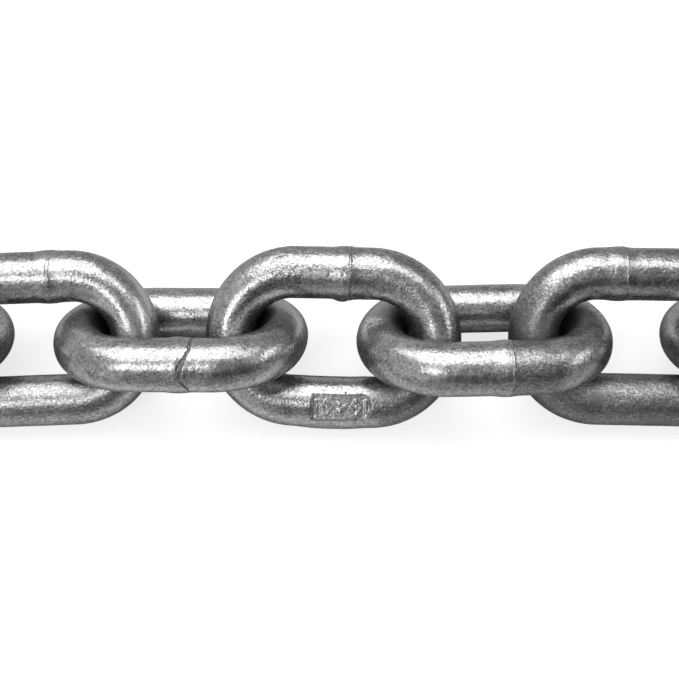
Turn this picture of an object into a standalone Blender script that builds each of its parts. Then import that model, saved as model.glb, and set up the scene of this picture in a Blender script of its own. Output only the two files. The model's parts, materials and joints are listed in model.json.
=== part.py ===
"""A one-foot length of galvanised short-link anchor chain, lying on the floor.

Metres, +Z up, the chain along +X. Each link leans on one long side, turn about
to the front and to the back, as a slack chain lies when it is pulled out straight.
"""
from math import cos, pi, radians, sin

import bmesh
import bpy
from mathutils import Euler, Vector

# Driving dimensions of one link
BAR_DIAMETER = 0.0101
INSIDE_LENGTH = 0.0303
INSIDE_WIDTH = 0.0151
CROWN_PRESS = 0.0003
WELD_RISE = 0.00025
WELD_LENGTH = 0.0050
WELD_OFFSET = 0.0020

# How the links hang together and lie: one slew for each link, in degrees about Z
NEST_PLAY = 0.0008
LEAN = radians(36)
SLEWS = (-1.4, 0.9, 2.0, -0.7, -2.0, 1.1, -1.6, 1.2, -1.2, 1.4)

# Fineness of the mesh: the crowns have an odd number of steps, so that one lies
# square across the chain and gives a shackle a flat seat
BAR_SIDES = 20
CROWN_STEPS = 13

BAR_RADIUS = BAR_DIAMETER / 2
HALF_LENGTH = (INSIDE_LENGTH + BAR_DIAMETER) / 2
HALF_WIDTH = (INSIDE_WIDTH + BAR_DIAMETER) / 2
HALF_STRAIGHT = HALF_LENGTH - HALF_WIDTH
NEST = BAR_DIAMETER + NEST_PLAY
PITCH = 2 * HALF_LENGTH - NEST


def clear_scene():
    for item in list(bpy.data.objects):
        bpy.data.objects.remove(item, do_unlink=True)


def zinc_coated_steel(name):
    material = bpy.data.materials.new(name)
    material.use_nodes = True
    shader = material.node_tree.nodes["Principled BSDF"]
    shader.inputs["Base Color"].default_value = (0.42, 0.42, 0.42, 1)
    shader.inputs["Metallic"].default_value = 0.9
    shader.inputs["Roughness"].default_value = 0.42
    return material


def crown_stations(side):
    """One crown's stations: its inner side is pressed a little flat by the bending."""
    stations = []
    for step in range(CROWN_STEPS + 1):
        angle = pi / 2 - pi * step / CROWN_STEPS
        outward = side * Vector((cos(angle), sin(angle), 0))
        centre = Vector((side * HALF_STRAIGHT, 0, 0))
        press = CROWN_PRESS * cos(angle)
        stations.append((centre + HALF_WIDTH * outward, outward, BAR_RADIUS, press))
    return stations


def weld_stations():
    """Stations of the +Y leg, where the bar swells a little at its weld."""
    stations = []
    outward = Vector((0, 1, 0))
    for place, rise in ((-0.5, 0), (-0.2, 1), (0.2, 1), (0.5, 0)):
        along = WELD_OFFSET + place * WELD_LENGTH
        centre = Vector((along, HALF_WIDTH, 0))
        stations.append((centre, outward, BAR_RADIUS + rise * WELD_RISE, 0))
    return stations


def bar_section(bm, station):
    """One ring of the bar: a polygon around the true circle, one flat facing outward."""
    centre, outward, radius, press = station
    normal = Vector((0, 0, 1))
    corner = radius / cos(pi / BAR_SIDES)
    ring = []
    for side in range(BAR_SIDES):
        angle = 2 * pi * (side + 0.5) / BAR_SIDES
        across = corner * cos(angle)
        if across < 0:
            across *= 1 - press / radius
        ring.append(bm.verts.new(centre + across * outward + corner * sin(angle) * normal))
    return ring


def link_mesh():
    """A link flat in XY, its origin in the crown of the link that it hangs from."""
    bm = bmesh.new()
    stations = weld_stations() + crown_stations(1) + crown_stations(-1)
    rings = [bar_section(bm, station) for station in stations]
    for ring, following in zip(rings, rings[1:] + rings[:1]):
        for side in range(BAR_SIDES):
            ahead = (side + 1) % BAR_SIDES
            bm.faces.new((ring[side], ring[ahead], following[ahead], following[side]))
    bmesh.ops.recalc_face_normals(bm, faces=bm.faces)
    bmesh.ops.translate(bm, verts=bm.verts, vec=(HALF_LENGTH - NEST, 0, 0))
    mesh = bpy.data.meshes.new("short_link")
    bm.to_mesh(mesh)
    bm.free()
    mesh.shade_smooth()
    mesh.set_sharp_from_angle(angle=radians(40))
    return mesh


def link_turn(number):
    """Odd links lean away from the front and even ones towards it."""
    roll = LEAN if number % 2 else pi - LEAN
    return Euler((roll, 0, radians(SLEWS[number - 1]))).to_matrix()


def hang_links(mesh):
    """Each link is a child of the one before it, with its origin on their hinge."""
    links = []
    for number in range(1, len(SLEWS) + 1):
        link = bpy.data.objects.new(f"link_{number:02d}", mesh)
        bpy.context.collection.objects.link(link)
        turn = link_turn(number)
        if links:
            link.parent = links[-1]
            link.location = (PITCH, 0, 0)
            turn = link_turn(number - 1).inverted() @ turn
        link.rotation_euler = turn.to_euler()
        links.append(link)
    return links


def stand_on_origin(links):
    """The middle of the chain's box goes to the origin, and its lowest faces to Z = 0."""
    bpy.context.view_layer.update()
    corners = [link.matrix_world @ vertex.co for link in links for vertex in link.data.vertices]
    low = Vector(min(corner[axis] for corner in corners) for axis in range(3))
    high = Vector(max(corner[axis] for corner in corners) for axis in range(3))
    links[0].location -= Vector(((low.x + high.x) / 2, (low.y + high.y) / 2, low.z))


def main():
    clear_scene()
    mesh = link_mesh()
    mesh.materials.append(zinc_coated_steel("galvanised_steel"))
    stand_on_origin(hang_links(mesh))
    bpy.context.view_layer.update()


main()
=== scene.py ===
# A straight length of galvanised anchor chain lying on a pale floor. Metres, +Z up.
import json
from math import cos, pi, radians, sin

import bpy
from mathutils import Matrix, Vector


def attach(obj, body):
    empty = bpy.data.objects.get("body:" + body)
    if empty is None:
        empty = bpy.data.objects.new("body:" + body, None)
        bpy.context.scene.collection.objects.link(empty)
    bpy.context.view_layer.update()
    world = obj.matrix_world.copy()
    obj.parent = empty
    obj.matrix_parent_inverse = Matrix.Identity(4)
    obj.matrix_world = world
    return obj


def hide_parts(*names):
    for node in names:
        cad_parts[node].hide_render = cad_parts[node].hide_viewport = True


print("loading the frame")
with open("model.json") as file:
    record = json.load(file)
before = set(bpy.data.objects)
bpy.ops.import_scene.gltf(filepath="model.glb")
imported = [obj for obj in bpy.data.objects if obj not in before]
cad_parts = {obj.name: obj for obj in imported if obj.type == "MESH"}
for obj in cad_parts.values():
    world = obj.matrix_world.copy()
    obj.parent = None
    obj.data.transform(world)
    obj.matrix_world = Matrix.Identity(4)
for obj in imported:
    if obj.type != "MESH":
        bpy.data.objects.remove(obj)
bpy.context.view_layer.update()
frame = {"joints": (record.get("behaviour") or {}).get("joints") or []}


class Wire:
    # One socket. Sums, products and so on of wires add the nodes that work them out.
    def __init__(self, maker, socket):
        self.maker = maker
        self.socket = socket

    def output(self, name):
        return Wire(self.maker, self.socket.node.outputs[name])

    def combined(self, operation, first, second):
        kinds = [item.socket.type for item in (first, second) if isinstance(item, Wire)]
        node = "ShaderNodeVectorMath" if "VECTOR" in kinds else "ShaderNodeMath"
        return self.maker.node(node, {"operation": operation}, {0: first, 1: second})

    def __add__(self, other):
        return self.combined("ADD", self, other)

    def __radd__(self, other):
        return self.combined("ADD", other, self)

    def __sub__(self, other):
        return self.combined("SUBTRACT", self, other)

    def __rsub__(self, other):
        return self.combined("SUBTRACT", other, self)

    def __mul__(self, other):
        return self.combined("MULTIPLY", self, other)

    def __rmul__(self, other):
        return self.combined("MULTIPLY", other, self)

    def __truediv__(self, other):
        return self.combined("DIVIDE", self, other)

    def __neg__(self):
        return self.combined("MULTIPLY", self, -1)

    def __abs__(self):
        return self.combined("ABSOLUTE", self, 0)


class NodeMaker:
    # Adds nodes to one tree: settings first, then the values or wires of the sockets.
    def __init__(self, tree):
        self.tree = tree

    def node(self, kind, settings=None, sockets=None, output=0):
        made = self.tree.nodes.new(kind)
        for name, value in (settings or {}).items():
            if name == "captured":
                made.capture_items.new("FLOAT", value)
            else:
                setattr(made, name, value)
        for key, value in (sockets or {}).items():
            named = [socket for socket in made.inputs if socket.identifier == key]
            socket = named[0] if named else made.inputs[key]
            if isinstance(value, Wire):
                self.tree.links.new(value.socket, socket)
            elif socket.type == "VECTOR" and isinstance(value, (int, float)):
                socket.default_value = (value, value, value)
            else:
                socket.default_value = value
        return Wire(self, made.outputs[output])

    def maths(self, operation, first, second=0.0):
        return self.node("ShaderNodeMath", {"operation": operation}, {0: first, 1: second})

    def clamp(self, value, low, high):
        return self.maths("MAXIMUM", self.maths("MINIMUM", value, high), low)

    def step(self, value, start, end, low=0.0, high=1.0):
        sockets = {"Value": value, "From Min": start, "From Max": end, "To Min": low, "To Max": high}
        return self.node("ShaderNodeMapRange", {"interpolation_type": "SMOOTHSTEP"}, sockets)

    def within(self, value, limit, soft):
        # 1 where the value is nearer to 0 than the limit, and 0 past it
        return 1 - self.step(abs(value), limit - soft, limit + soft)

    def vector(self, x, y, z):
        return self.node("ShaderNodeCombineXYZ", None, {"X": x, "Y": y, "Z": z})

    def length(self, vector):
        return self.node("ShaderNodeVectorMath", {"operation": "LENGTH"}, {0: vector}, "Value")

    def dot(self, first, second):
        settings = {"operation": "DOT_PRODUCT"}
        return self.node("ShaderNodeVectorMath", settings, {0: first, 1: second}, "Value")

    def noise(self, place, scale, detail=2.0, roughness=0.5, distortion=0.0):
        sockets = {"Vector": place, "Scale": scale, "Detail": detail, "Roughness": roughness,
                   "Distortion": distortion}
        return self.node("ShaderNodeTexNoise", None, sockets)

    def mixColour(self, factor, first, second):
        sockets = {"Factor_Float": factor, "A_Color": first, "B_Color": second}
        return self.node("ShaderNodeMix", {"data_type": "RGBA"}, sockets, 2)

    def stored(self, name):
        # A vector kept on the mesh: its X, with Y and Z as further outputs
        vector = self.node("ShaderNodeAttribute", {"attribute_name": name}, None, "Vector")
        return self.node("ShaderNodeSeparateXYZ", None, {0: vector})


def grey(value):
    return (value, value, value, 1)


# The zinc coat. Tones are those of bare metal, and each Tone below them is what a pattern adds or
# takes away. Scales are to the millimetre, heights and depths in millimetres
zincCoat = {
    "darkest": 0.17,
    "lightest": 0.50,
    "dirtAndShade": 0.03,
    "dust": 0.75,
    "middleTone": 0.55,
    "cloudTone": 0.6,
    "mottleTone": 1.2,
    "grainTone": 3.5,
    "wipeTone": 1.0,
    "speckTone": 0.25,
    # Dull patches are rougher and darker; below the legs and on one crown the darkening is painted shade
    "dullShadeTone": 0.22,
    "crackTone": 0.28,
    # Painted light: crowns lightened or darkened, and a painted highlight on the stamp's face and marks
    "paintedLightTone": 0.35,
    "cloudScale": 0.12,
    "mottleScale": 0.55,
    "grainScale": 2.3,
    "speckScale": 3.8,
    "pitScale": 0.5,
    "waveScale": 0.8,
    "peelScale": 1.9,
    "lumpScale": 1.1,
    # How dark each mark is mixed: pits, seam edges and the crack are real; the crowns' crevices and the pad's
    # edges are painted shade
    "pitDirt": 0.85,
    "seamDirt": 0.6,
    "creviceShadeStrength": 0.93,
    "padEdgeShade": 0.6,
    "crackDirt": 0.6,
    "roughness": 0.265,
    "mottleRoughness": 0.30,
    "cloudRoughness": 0.16,
    "dirtAndShadeRoughness": 0.3,
    "dullRoughness": 0.08,
    "metallic": 0.92,
    "waveHeight": 0.055,
    "peelHeight": 0.043,
    "grainHeight": 0.012,
    "lumpHeight": 0.035,
    "pitDepth": 0.07,
    "seamDepth": 0.05,
    "crackRelief": 0.10,
    "scratchDepth": 0.010,
}


def galvanisedSteel():
    coat = zincCoat
    material = bpy.data.materials.new("galvanisedSteel")
    material.use_nodes = True
    tree = material.node_tree
    shader = tree.nodes["Principled BSDF"]
    make = NodeMaker(tree)
    place = make.node("ShaderNodeAttribute", {"attribute_name": "barPlace"}, None, "Vector")
    fromSeam = make.stored("seamPlace")
    seamHalf, seamLift = fromSeam.output("Y"), fromSeam.output("Z")
    rough = make.stored("coatPlace")
    creviceShade, dullAndShade = rough.output("Y"), rough.output("Z")
    paintedLight = make.stored("padPlace")
    padEdge, scuff = paintedLight.output("Y"), paintedLight.output("Z")

    # Zinc crystals and weather: patches of about 8, 2 and 0.3 mm, dark specks and odd pits
    cloud = make.noise(place, coat["cloudScale"], 2.0)
    mottle = make.noise(place, coat["mottleScale"], 5.0, 0.7, 0.5)
    grain = make.noise(place, coat["grainScale"], 3.0, 0.75)
    wipe = make.noise(place * (0.35, 2.6, 2.6), 1.0, 3.0, 0.65)
    speck = make.step(make.noise(place, coat["speckScale"], 2.0, 0.6), 0.60, 0.70)
    cells = make.node("ShaderNodeTexVoronoi", None, {"Vector": place, "Scale": coat["pitScale"]})
    oneCell = make.node("ShaderNodeSeparateColor", None, {0: cells.output("Color")})
    pits = make.within(cells, 0.09, 0.05) * make.step(oneCell, 0.80, 0.82)

    # Dark edges along the seam's ridge, or one dark band where the weld has cracked
    cracked = make.step(-seamLift, 0.01, 0.03)
    seamEdge = make.within(abs(fromSeam) - seamHalf, 0.10, 0.07) * make.step(grain + cloud, 0.75, 1.05)
    seamEdge = seamEdge * make.step(abs(seamLift), 0.0, 0.12) * (1 - cracked * 0.7)
    crack = make.within(fromSeam, seamHalf, 0.10) * cracked

    tone = coat["middleTone"] + (cloud - 0.5) * coat["cloudTone"] + (mottle - 0.5) * coat["mottleTone"]
    tone = tone + (grain - 0.5) * coat["grainTone"] + (wipe - 0.5) * coat["wipeTone"]
    # Painted shade: dull patches below the legs darken the tone; painted light: crowns, the stamp's face and
    # its marks are lightened or darkened
    tone = tone - speck * coat["speckTone"] - dullAndShade * coat["dullShadeTone"] - crack * coat["crackTone"]
    tone = make.clamp(tone + paintedLight * coat["paintedLightTone"], 0.0, 1.0)
    zinc = make.mixColour(tone, grey(coat["darkest"]), grey(coat["lightest"]))
    dusty = make.step(make.noise(place * (0.6, 1.0, 1.0), 1.3, 4.0, 0.7, 1.0), 0.47, 0.55) * scuff
    zinc = make.mixColour(dusty * 0.85, zinc, grey(coat["dust"]))
    # Darkened: real pits, seam edges and crack, with painted shade in the crowns' crevices and along the
    # pad's edges
    dirtAndShade = pits * coat["pitDirt"] + seamEdge * coat["seamDirt"] + creviceShade * coat["creviceShadeStrength"]
    dirtAndShade = dirtAndShade + padEdge * coat["padEdgeShade"] + crack * make.step(mottle, 0.42, 0.6) * coat["crackDirt"]
    dirtAndShade = make.clamp(dirtAndShade, 0.0, 1.0)
    colour = make.mixColour(dirtAndShade, zinc, grey(coat["dirtAndShade"]))
    tree.links.new(colour.socket, shader.inputs["Base Color"])

    gloss = coat["roughness"] + (mottle - 0.5) * coat["mottleRoughness"]
    gloss = gloss + (cloud - 0.5) * coat["cloudRoughness"] + dirtAndShade * coat["dirtAndShadeRoughness"] + speck * 0.08
    gloss = gloss + dullAndShade * coat["dullRoughness"] + crack * 0.15 + dusty * 0.2
    tree.links.new(make.clamp(gloss, 0.17, 0.9).socket, shader.inputs["Roughness"])

    # Relief that is finer than the mesh
    wave = make.noise(place, coat["waveScale"], 2.0, 0.55, 0.4)
    peel = make.noise(place, coat["peelScale"], 1.0, 0.5)
    lumps = make.step(make.noise(place, coat["lumpScale"], 3.0, 0.65, 0.8), 0.46, 0.66)
    height = wave * coat["waveHeight"] + peel * coat["peelHeight"] * (1 + dullAndShade * 0.3)
    height = height + grain * coat["grainHeight"] - wipe * coat["scratchDepth"]
    height = height + lumps * rough * coat["lumpHeight"] - pits * coat["pitDepth"]
    height = height - seamEdge * coat["seamDepth"] - crack * peel * coat["crackRelief"]
    height = height + make.within(fromSeam, seamHalf, 0.12) * seamLift * 0.6
    bump = make.node("ShaderNodeBump", None, {"Strength": 1.0, "Distance": 0.001, "Height": height})
    tree.links.new(bump.socket, shader.inputs["Normal"])
    tree.links.new((coat["metallic"] - dusty * 0.6).socket, shader.inputs["Metallic"])
    shader.inputs["Specular Tint"].default_value = grey(0.5)
    return material


# One link: metres down to the weld's rise, then millimetres, with plain numbers for shares and tones
linkSizes = {
    "Bar Diameter": 0.0101,
    "Inside Length": 0.0303,
    "Inside Width": 0.0151,
    "Crown Press": 0.0003,
    "Crown Thinning": 0.00033,
    "Right Thinning": 0.0,
    "Weld Length": 0.0050,
    "Weld Rise": 0.00020,
    "Points Along": 330,
    "Points Around": 96,
    "Leg Crowding": 0.45,
    "Section Crowding": 0.0,
    "Wave Height": 0.06,
    "Weld Offset": 2.0,
    "Seam Lift": 0.05,
    "Seam Width": 0.45,
    "Seam Upper": 0.0,
    "Seam Lower": 0.0,
    "Seam Turn": 0.0,
    "Seam Jag": 0.25,
    "Bulge Height": 0.0,
    "Lump Height": 0.06,
    "Lump Share": 0.3,
    "Leg Bow": 0.0,
    "Leg Lift": 0.0,
    "Leg Swell": 0.0,
    "Leg Spread": 0.0,
    "Dent Depth": 0.0,
    # Painted light on the crowns: lighter or darker crowns where the light falls on them
    "Crown Tone": 0.0,
    "Dull Side": 0.0,
    # Rougher and painted darker below the legs: painted shade
    "Dull Below": 0.0,
    "Dull From": 4.0,
    "Dull Turn": 0.2,
    # Where the painted shade in the crowns' crevices starts and ends
    "Crevice Start": 0.8,
    "Crevice End": 1.15,
    "Pad Length": 0.0,
    "Pad Width": 5.0,
    "Pad Offset": 2.0,
}
linkPlaces = {
    "Lean": "Float",
    "Slew": "Float",
    "Middle": "Vector",
    "Lump Middle": "Vector",
    "Scuff Middle": "Vector",
    "Dent Middle": "Vector",
    "Seed": "Float",
}

# What is different on each link: the place and line of its weld, its bends, lumps, dullness (partly painted
# shade), painted light on its crowns and stamp
fineMesh = {"Points Along": 460, "Points Around": 100}
linkTraits = {
    "link_03": {
        **fineMesh, "Inside Width": 0.0143,
        "Weld Offset": 5.1, "Seam Jag": 0.15, "Seam Width": 0.7,
        "Dull Below": 0.8, "Dull From": -30.0, "Crown Tone": 0.8,
    },
    "link_04": {
        **fineMesh, "Right Thinning": 0.0003, "Lump Share": 0.0, "Crown Tone": 1.0,
        "Weld Offset": 2.4, "Seam Upper": 1.6, "Seam Lower": 1.2, "Seam Jag": 0.5,
        "Seam Lift": -0.10, "Seam Width": 0.65,
        "Leg Bow": -0.85, "Leg Lift": 0.35, "Leg Swell": 0.2, "Leg Spread": 1.0,
    },
    "link_05": {
        "Points Along": 560, "Points Around": 150, "Section Crowding": 0.5,
        "Weld Offset": 3.3, "Seam Jag": 0.2, "Seam Lift": 0.09, "Bulge Height": 0.32,
        "Lump Height": 0.08, "Lump Share": 1.0, "Dull Below": 2.3,
        "Leg Bow": 0.28, "Leg Swell": 0.12, "Dent Depth": 0.17, "Pad Length": 11.8,
    },
    "link_06": {
        **fineMesh, "Right Thinning": 0.0007, "Lump Share": 0.0, "Crown Tone": 0.25,
        "Weld Offset": 3.15, "Seam Jag": 0.2, "Seam Lift": 0.065, "Dull Side": 1.4,
        "Leg Bow": 0.4, "Leg Lift": -0.7, "Leg Swell": -0.15, "Leg Spread": 1.0,
        "Scuff Middle": (-22.0, 1.0, -4.6),
    },
    "link_07": {
        "Inside Width": 0.0143, "Weld Offset": -3.6, "Seam Jag": 0.2,
        "Dull Below": 2.1, "Dull From": -30.0, "Dull Turn": -0.75, "Crown Tone": -0.8,
    },
}

# The stamp's plain raised marks, in millimetres along the pad and across it
stampMarks = {
    "bars": (-4.75, 4.8),
    "lozenges": (-2.75, 2.9),
    "pips": ((-0.35, 0.75), (0.75, 0.15), (-0.3, -0.7)),
    "height": 0.42,
    "depth": 0.10,
    # Painted highlight on the stamp's face and marks
    "paintedBrightness": 0.9,
}


def weldForms(make, given, place, plain, fromMiddle, around, outY):
    # A swelling, a bulge inside, and a seam that is a low ridge or, on one link, a crack
    fromWeld = fromMiddle * 1000 - given["Weld Offset"]
    swell = make.within(fromWeld + 1.0, given["Weld Length"] * 300, given["Weld Length"] * 300)
    uneven = 0.55 + 0.9 * make.noise(place, 0.3, 1.0)
    across = make.maths("SINE", around + given["Seam Turn"])
    jag = make.noise(place, 0.8, 3.0, 0.6) - 0.5
    seamLine = given["Seam Upper"] * make.step(across, -0.3, 0.65) + jag * given["Seam Jag"] * 2
    seamLine = seamLine + given["Seam Lower"] * (1 - make.step(across, -0.95, -0.45))
    fromSeam = fromWeld - seamLine
    spread = make.noise(place, 0.7, 2.0) * (1.2 - 0.7 * abs(across))
    seamHalf = given["Seam Width"] * make.clamp(spread, 0.2, 0.75)
    nearWeld = make.within(fromWeld, 4.4, 0.4) * make.step(outY, 0.9, 0.95)
    seam = make.within(fromSeam, seamHalf, 0.14) * nearWeld
    bulgeMiddle = make.vector(given["Weld Offset"] - 1.9, 7.7, 0.4)
    bulge = make.within(make.length(plain - bulgeMiddle), 1.1, 0.8)
    rise = (given["Weld Rise"] * 1000 * swell * uneven + given["Seam Lift"] * seam
            + given["Bulge Height"] * bulge)
    return rise, fromSeam, seamHalf, nearWeld


def stampForms(make, given, place, radius, padX, padTurn):
    # A flat pressed in the leg across from the weld's, with plain raised marks
    padY = radius * padTurn
    halfLength = given["Pad Length"] / 2
    halfWidth = given["Pad Width"] / 2
    hasPad = make.step(given["Pad Length"], 0.0, 1.0)
    chord = make.maths("SQRT", radius * radius - halfWidth * halfWidth)
    flat = chord / make.maths("COSINE", make.clamp(padTurn, -1.2, 1.2)) - radius - stampMarks["depth"]
    leftEnd = -halfLength + padY * 0.05
    rightEnd = halfLength - padY * padY * 0.16
    inLength = make.step(padX, leftEnd, leftEnd + 0.75)
    inLength = inLength * (1 - make.step(padX, rightEnd - 0.5, rightEnd + 0.1))
    inside = inLength * make.within(padY, halfWidth * 1.05, halfWidth * 0.05) * hasPad

    def bar(x):
        return make.within(padX - x, 0.20, 0.12) * make.within(padY, 1.45, 0.2)

    def lozenge(x):
        size = abs(padX - x) / 1.25 + abs(padY + 0.05) / 1.85
        return make.within(size - 0.78, 0.17, 0.10) + make.within(size, 0.24, 0.12)

    def pip(x, y):
        return make.within(make.length(make.vector(padX - x, padY - y, 0.0)), 0.36, 0.14)

    marks = sum(bar(x) for x in stampMarks["bars"]) + sum(lozenge(x) for x in stampMarks["lozenges"])
    marks = marks + sum(pip(x, y) for x, y in stampMarks["pips"])
    marks = make.clamp(marks, 0.0, 1.0) * (0.3 + 1.4 * make.noise(place, 0.9, 2.0)) * inside
    pad = inside * make.maths("MINIMUM", flat, 0.0) + marks * stampMarks["height"]
    # Painted shade along the pad's edges and in the groove under it
    padEdge = 0.35 * make.within(padX - leftEnd - 0.3, 0.3, 0.2)
    padEdge = padEdge + 0.3 * make.within(padY - halfWidth, 0.16, 0.1)
    padEdge = padEdge + 1.2 * make.within(padY + halfWidth, 0.14, 0.08) * inLength
    padEdge = make.clamp(padEdge * make.within(padY, halfWidth * 1.08, 0.15) * hasPad, 0.0, 1.0)
    padEdge = padEdge * make.within(padX, halfLength, 0.4)
    return pad, inside, marks, padEdge


def linkTree():
    tree = bpy.data.node_groups.new("weldedLink", "GeometryNodeTree")
    for name, value in linkSizes.items():
        kind = "Int" if isinstance(value, int) else "Float"
        tree.interface.new_socket(name, in_out="INPUT", socket_type="NodeSocket" + kind)
    for name, kind in linkPlaces.items():
        tree.interface.new_socket(name, in_out="INPUT", socket_type="NodeSocket" + kind)
    tree.interface.new_socket("Coat", in_out="INPUT", socket_type="NodeSocketMaterial")
    tree.interface.new_socket("Link", in_out="OUTPUT", socket_type="NodeSocketGeometry")
    make = NodeMaker(tree)
    first = make.node("NodeGroupInput")
    given = {socket.name: Wire(make, socket) for socket in first.socket.node.outputs if socket.name}

    # A ring of bar: the spine's and the section's shares tell each point where it belongs
    index = make.node("GeometryNodeInputIndex")
    spine = make.node("GeometryNodeCurvePrimitiveCircle", None,
                      {"Resolution": given["Points Along"], "Radius": 1.0})
    spine = make.node("GeometryNodeCaptureAttribute", {"captured": "share"},
                      {"Geometry": spine, "share": index / given["Points Along"]})
    section = make.node("GeometryNodeCurvePrimitiveCircle", None,
                        {"Resolution": given["Points Around"], "Radius": 0.1})
    section = make.node("GeometryNodeCaptureAttribute", {"captured": "share"},
                        {"Geometry": section, "share": index / given["Points Around"]})
    ring = make.node("GeometryNodeCurveToMesh", None, {"Curve": spine, "Profile Curve": section})

    barRadius = given["Bar Diameter"] / 2
    crownRadius = (given["Inside Width"] + given["Bar Diameter"]) / 2
    straight = given["Inside Length"] - given["Inside Width"]
    quarter = crownRadius * (pi / 2)
    length = straight * 2 + quarter * 4
    share = spine.output("share")
    crowding = given["Leg Crowding"] / (4 * pi) * make.maths("SINE", share * (4 * pi))
    along = length * (share + crowding)
    turn = section.output("share") * (2 * pi)
    around = turn + given["Section Crowding"] * make.maths("COSINE", turn)

    # From the left crown's tip: a quarter turn, a leg, half a turn, a leg and a quarter turn
    intoTop = along - quarter
    intoRight = intoTop - straight
    intoBottom = intoRight - quarter * 2
    intoLeft = intoBottom - straight
    heading = (make.clamp(along / crownRadius, 0, pi / 2) + make.clamp(intoRight / crownRadius, 0, pi)
               + make.clamp(intoLeft / crownRadius, 0, pi / 2))
    middle = (make.clamp(intoTop, 0, straight) - make.clamp(intoBottom, 0, straight)) - straight / 2
    outX = -make.maths("COSINE", heading)
    outY = make.maths("SINE", heading)
    outward = make.maths("COSINE", around)
    upward = make.maths("SINE", around)
    crown = abs(outX)
    midLeg = make.step(-outY, 0.9, 0.95) * (1 - make.step(abs(middle), 0.002, 0.0085))
    wholeLeg = make.step(-outY, 0.0, 1.0)
    lowerLeg = (midLeg + (wholeLeg - midLeg) * given["Leg Spread"]) / 1000

    def surface(rise):
        # The bends leave the bar pressed a little flat inside and drawn a little thin outside
        press = given["Crown Press"] * crown * make.maths("MAXIMUM", -outward, 0.0)
        rightThinning = given["Right Thinning"] * make.maths("MAXIMUM", outX, 0.0)
        thinning = given["Crown Thinning"] * crown + rightThinning
        thinned = thinning * make.maths("MAXIMUM", outward, 0.0)
        radius = barRadius + rise + given["Leg Swell"] * lowerLeg
        reach = crownRadius + radius * outward + press - thinned + given["Leg Bow"] * lowerLeg
        lift = radius * upward + given["Leg Lift"] * lowerLeg
        return make.vector(middle + reach * outX, reach * outY, lift)

    plain = surface(0.0) * 1000
    place = plain + make.vector(given["Seed"] * 53, given["Seed"] * 31, given["Seed"] * 17)
    weld, fromSeam, seamHalf, nearWeld = weldForms(make, given, place, plain, intoTop - straight / 2,
                                                   around, outY)

    # The zinc: slow waves, and lumps that froze on one shoulder
    wave = (make.noise(place, 0.15, 1.0) - 0.5) * 1.6 + (make.noise(place, 0.5, 1.0) - 0.5) * 0.6
    lumpReach = make.within(make.length(plain - given["Lump Middle"]), 7.0, 2.5) * given["Lump Share"]
    lumps = make.step(make.noise(place, 1.0, 2.0, 0.6, 0.5), 0.50, 0.66) * lumpReach
    scuff = make.within(make.length(plain - given["Scuff Middle"]), 2.2, 1.4)
    dent = make.within(make.length((plain - given["Dent Middle"]) * (0.55, 0.9, 0.9)), 1.25, 0.75)
    coat = wave * given["Wave Height"] + lumps * given["Lump Height"]

    padX = -(intoBottom - straight / 2) * 1000 - given["Pad Offset"]
    pad, inside, marks, padEdge = stampForms(make, given, place, barRadius * 1000, padX,
                                             around - radians(89))
    rise = (weld + coat * (1 - 0.7 * inside) + pad - given["Dent Depth"] * dent) / 1000
    ring = make.node("GeometryNodeSetPosition", None, {"Geometry": ring, "Position": surface(rise)})

    # What the finish reads from the mesh: painted shade in the crowns' crevices and along the pad's edges,
    # dull patches that are partly painted shade, and painted light on the crowns, the pad and its marks
    # Painted shade in the inner crowns, where the links meet
    creviceShade = make.step(crown, 0.72, 0.92) * make.step(-outward, given["Crevice Start"], given["Crevice End"])
    # Dull patches: rougher zinc, painted darker too; below the legs and on one crown that darkening is
    # painted shade
    dullAndShade = given["Dull Side"] * make.step(fromSeam, -0.1, 0.3) * make.step(outY, 0.5, 0.95)
    dullAndShade = dullAndShade * (1 - make.step(fromSeam, 5.5, 9.0))
    below = make.step(padX - given["Dull From"], 0.0, 5.0) * make.step(-outY - given["Dull Turn"], 0.0, 0.6)
    dullAndShade = dullAndShade + given["Dull Below"] * below
    # Painted light: crowns lightened or darkened, and a painted highlight on the stamp's face and marks
    paintedLight = marks + inside * stampMarks["paintedBrightness"] + given["Crown Tone"] * make.step(crown, 0.4, 0.95)
    kept = {
        "barPlace": place,
        "seamPlace": make.vector(fromSeam, seamHalf, nearWeld * given["Seam Lift"]),
        "coatPlace": make.vector(lumpReach, creviceShade, dullAndShade),
        "padPlace": make.vector(paintedLight, padEdge, scuff),
    }
    for name, value in kept.items():
        ring = make.node("GeometryNodeStoreNamedAttribute", {"data_type": "FLOAT_VECTOR", "domain": "POINT"},
                         {"Geometry": ring, "Name": name, "Value": value})
    rotation = make.node("FunctionNodeEulerToRotation", None,
                         {0: make.vector(given["Lean"], 0.0, given["Slew"])})
    ring = make.node("GeometryNodeTransform", None,
                     {"Geometry": ring, "Translation": given["Middle"], "Rotation": rotation})
    ring = make.node("GeometryNodeSetShadeSmooth", None, {"Geometry": ring})
    ring = make.node("GeometryNodeRealizeInstances", None, {"Geometry": ring})
    ring = make.node("GeometryNodeSetMaterial", None, {"Geometry": ring, "Material": given["Coat"]})
    last = tree.nodes.new("NodeGroupOutput")
    tree.links.new(ring.socket, last.inputs["Link"])
    return tree


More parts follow.
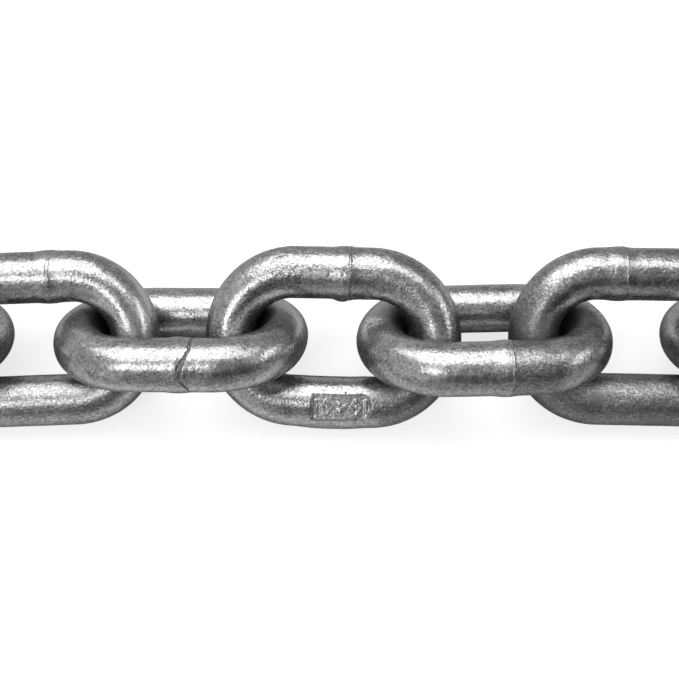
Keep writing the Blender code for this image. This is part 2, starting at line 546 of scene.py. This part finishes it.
def meshFromTree(name, tree, values):
    bpy.ops.mesh.primitive_plane_add(size=0.001)
    host = bpy.context.object
    modifier = host.modifiers.new("made", "NODES")
    modifier.node_group = tree
    for socket in tree.interface.items_tree:
        if socket.in_out == "INPUT" and socket.name in values:
            modifier[socket.identifier] = values[socket.name]
    evaluated = host.evaluated_get(bpy.context.evaluated_depsgraph_get())
    mesh = bpy.data.meshes.new_from_object(evaluated)
    mesh.name = name
    bpy.data.objects.remove(host)
    piece = bpy.data.objects.new(name, mesh)
    bpy.context.collection.objects.link(piece)
    return piece


# How the links lie: the seat's spacing, the lean of every link and the slew of each. Odd links lean
# away and even ones towards the viewer, which turns the seam's line and deepens the painted shade in the eyes
lay = {
    "nest": 0.0109,
    "lean": radians(36),
    "slews": (-1.4, 0.9, 2.0, -0.7, -2.0, 1.1, -1.6, 1.2, -1.2, 1.4),
    "away": {"Seam Turn": radians(97.4), "Crevice Start": 0.8, "Crevice End": 1.15},
    "towards": {"Seam Turn": radians(205.4), "Crevice Start": 0.15, "Crevice End": 0.7},
    "weldMiddle": 2.0,
    "weldWander": 1.6,
    "lumpsLeft": (-9.0, 18.5, 1.0),
    "lumpsRight": (10.0, 18.5, 1.0),
    "dent": (-12.2, -9.2, 4.6),
    "noScuff": (0.0, 60.0, 0.0),
}


def hingePoints():
    # Where each link hangs on the one before it; the first one's is a pitch back along it
    pitch = linkSizes["Inside Length"] + linkSizes["Bar Diameter"] - lay["nest"]
    points = [Vector(joint["pos_m"]) for joint in frame["joints"]]
    slew = radians(lay["slews"][0])
    return [points[0] - pitch * Vector((cos(slew), sin(slew), 0))] + points


def linkValues(number, name, hinge):
    slew = radians(lay["slews"][number - 1])
    toMiddle = (linkSizes["Inside Length"] + linkSizes["Bar Diameter"]) / 2 - lay["nest"]
    away = number % 2 == 1
    values = dict(linkSizes)
    values.update(lay["away"] if away else lay["towards"])
    values["Weld Offset"] = lay["weldMiddle"] + lay["weldWander"] * sin(number * 2.4)
    values["Scuff Middle"] = lay["noScuff"]
    values.update(linkTraits.get(name, {}))
    values["Lean"] = lay["lean"] if away else pi - lay["lean"]
    values["Slew"] = slew
    values["Middle"] = hinge + toMiddle * Vector((cos(slew), sin(slew), 0))
    values["Lump Middle"] = lay["lumpsLeft"] if number % 3 else lay["lumpsRight"]
    values["Dent Middle"] = lay["dent"]
    values["Seed"] = float(number)
    return values


def layChain(coat):
    tree = linkTree()
    for number, hinge in enumerate(hingePoints(), 1):
        name = f"link_{number:02d}"
        values = linkValues(number, name, hinge)
        values["Coat"] = coat
        piece = meshFromTree(name + "_zinc", tree, values)
        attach(piece, name)
        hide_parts(name)
        print(name, len(piece.data.polygons), "faces")


print("making the links")
layChain(galvanisedSteel())

# The studio. Only the camera sees the floor's and the backdrop's extra glow, so both stay pale
# without lighting the metal from below. Pools are strips of floor that light the metal: where each
# starts and ends, in metres before the chain (below zero is behind it)
studio = {
    "floorSize": 14.0,
    "floorLevel": -0.0003,
    "floorTone": 0.33,
    "floorRoughness": 0.9,
    "floorGlow": 0.76,
    "poolGlow": 0.75,
    "poolStart": (0.008, 0.024),
    "poolEnd": (0.022, 0.062),
    "poolToRight": 0.45,
    "behindGlow": 0.45,
    "behindStart": (-0.026, -0.016),
    "behindEnd": (-0.14, -0.08),
    "backdrop": 1.02,
    "roomLeft": 0.60,
    "roomRight": 0.28,
}

# Soft boxes far off: where they stand (azimuth from +Y towards +X, elevation), half sizes, edge and glow
softBoxes = {
    "overhead": {"towards": (335, 68), "half": (0.40, 0.42), "edge": 0.14, "glow": 3.5},
    "overRight": {"towards": (72, 58), "half": (0.20, 0.14), "edge": 0.12, "glow": 2.6},
    "besideCamera": {"towards": (211, 49), "half": (0.13, 0.16), "edge": 0.08, "glow": 6.5},
    "besideLeft": {"towards": (228, 8), "half": (0.30, 0.12), "edge": 0.10, "glow": 0.6},
    "right": {"towards": (90, 27), "half": (0.26, 0.10), "edge": 0.08, "glow": 3.6},
    "frontShade": {"towards": (162, 20), "half": (0.52, 0.34), "edge": 0.25, "glow": -0.32},
}


def paleFloor():
    bpy.ops.mesh.primitive_plane_add(size=studio["floorSize"], location=(0, 0, studio["floorLevel"]))
    floor = bpy.context.object
    floor.name = "paleFloor"
    material = bpy.data.materials.new("paleFloor")
    material.use_nodes = True
    make = NodeMaker(material.node_tree)
    shader = material.node_tree.nodes["Principled BSDF"]
    shader.inputs["Base Color"].default_value = grey(studio["floorTone"])
    shader.inputs["Roughness"].default_value = studio["floorRoughness"]
    shader.inputs["Specular IOR Level"].default_value = 0.1
    place = make.node("ShaderNodeTexCoord", None, None, "Object")
    sideways = make.node("ShaderNodeSeparateXYZ", None, {0: place})
    before = -sideways.output("Y")
    pool = make.step(before, *studio["poolStart"])
    pool = pool * make.step(before, *studio["poolEnd"], studio["poolGlow"], 0.0)
    pool = pool * make.step(sideways, -0.06, 0.06, 1.0, studio["poolToRight"])
    behind = make.step(before, *studio["behindStart"], studio["behindGlow"], 0.0)
    pool = pool + behind * make.step(before, *studio["behindEnd"])
    seen = make.node("ShaderNodeLightPath", None, None, "Is Camera Ray")
    glow = seen * studio["floorGlow"] + (1 - seen) * pool
    material.node_tree.links.new(glow.socket, shader.inputs["Emission Color"])
    shader.inputs["Emission Strength"].default_value = 1.0
    floor.data.materials.append(material)


def room():
    world = bpy.data.worlds.new("room")
    bpy.context.scene.world = world
    world.use_nodes = True
    make = NodeMaker(world.node_tree)
    towards = make.node("ShaderNodeTexCoord", None, None, "Generated")
    sideways = make.node("ShaderNodeSeparateXYZ", None, {0: towards})
    glow = make.step(sideways, -0.7, 0.7, studio["roomLeft"], studio["roomRight"])
    for box in softBoxes.values():
        azimuth, elevation = (radians(angle) for angle in box["towards"])
        middle = Vector((sin(azimuth) * cos(elevation), cos(azimuth) * cos(elevation), sin(elevation)))
        across = Vector((cos(azimuth), -sin(azimuth), 0))
        lit = make.step(make.dot(towards, middle), 0.0, 0.2)
        for axis, half in ((across, box["half"][0]), (across.cross(middle), box["half"][1])):
            lit = lit * make.within(make.dot(towards, axis), half, box["edge"] / 2)
        glow = glow + lit * box["glow"]
    glow = make.maths("MAXIMUM", glow, 0.0)
    seen = make.node("ShaderNodeLightPath", None, None, "Is Camera Ray")
    glow = glow * (1 - seen) + seen * studio["backdrop"]
    background = world.node_tree.nodes["Background"]
    world.node_tree.links.new(glow.socket, background.inputs["Strength"])
    background.inputs["Color"].default_value = grey(1.0)


view = {
    "target": Vector((-0.013453, -0.000415, 0.0127)),
    "distance": 0.1959,
    "elevation": radians(61.386),
    "azimuth": radians(-3.686),
    "roll": radians(-3.598),
    "lens": 53.395,
}


def camera():
    data = bpy.data.cameras.new("photoCamera")
    data.lens = view["lens"]
    data.sensor_width = 36
    data.clip_start = 0.01
    item = bpy.data.objects.new("photoCamera", data)
    bpy.context.collection.objects.link(item)
    azimuth, elevation, roll = view["azimuth"], view["elevation"], view["roll"]
    sight = Vector((sin(azimuth) * cos(elevation), cos(azimuth) * cos(elevation), -sin(elevation)))
    right = Vector((cos(azimuth), -sin(azimuth), 0))
    up = right.cross(sight)
    rolledRight = cos(roll) * right + sin(roll) * up
    rolledUp = cos(roll) * up - sin(roll) * right
    turn = Matrix((rolledRight, rolledUp, -sight)).transposed()
    item.matrix_world = Matrix.Translation(view["target"] - view["distance"] * sight) @ turn.to_4x4()
    bpy.context.scene.camera = item


print("floor, lights and camera")
paleFloor()
room()
camera()
bpy.context.scene.view_settings.view_transform = "Standard"
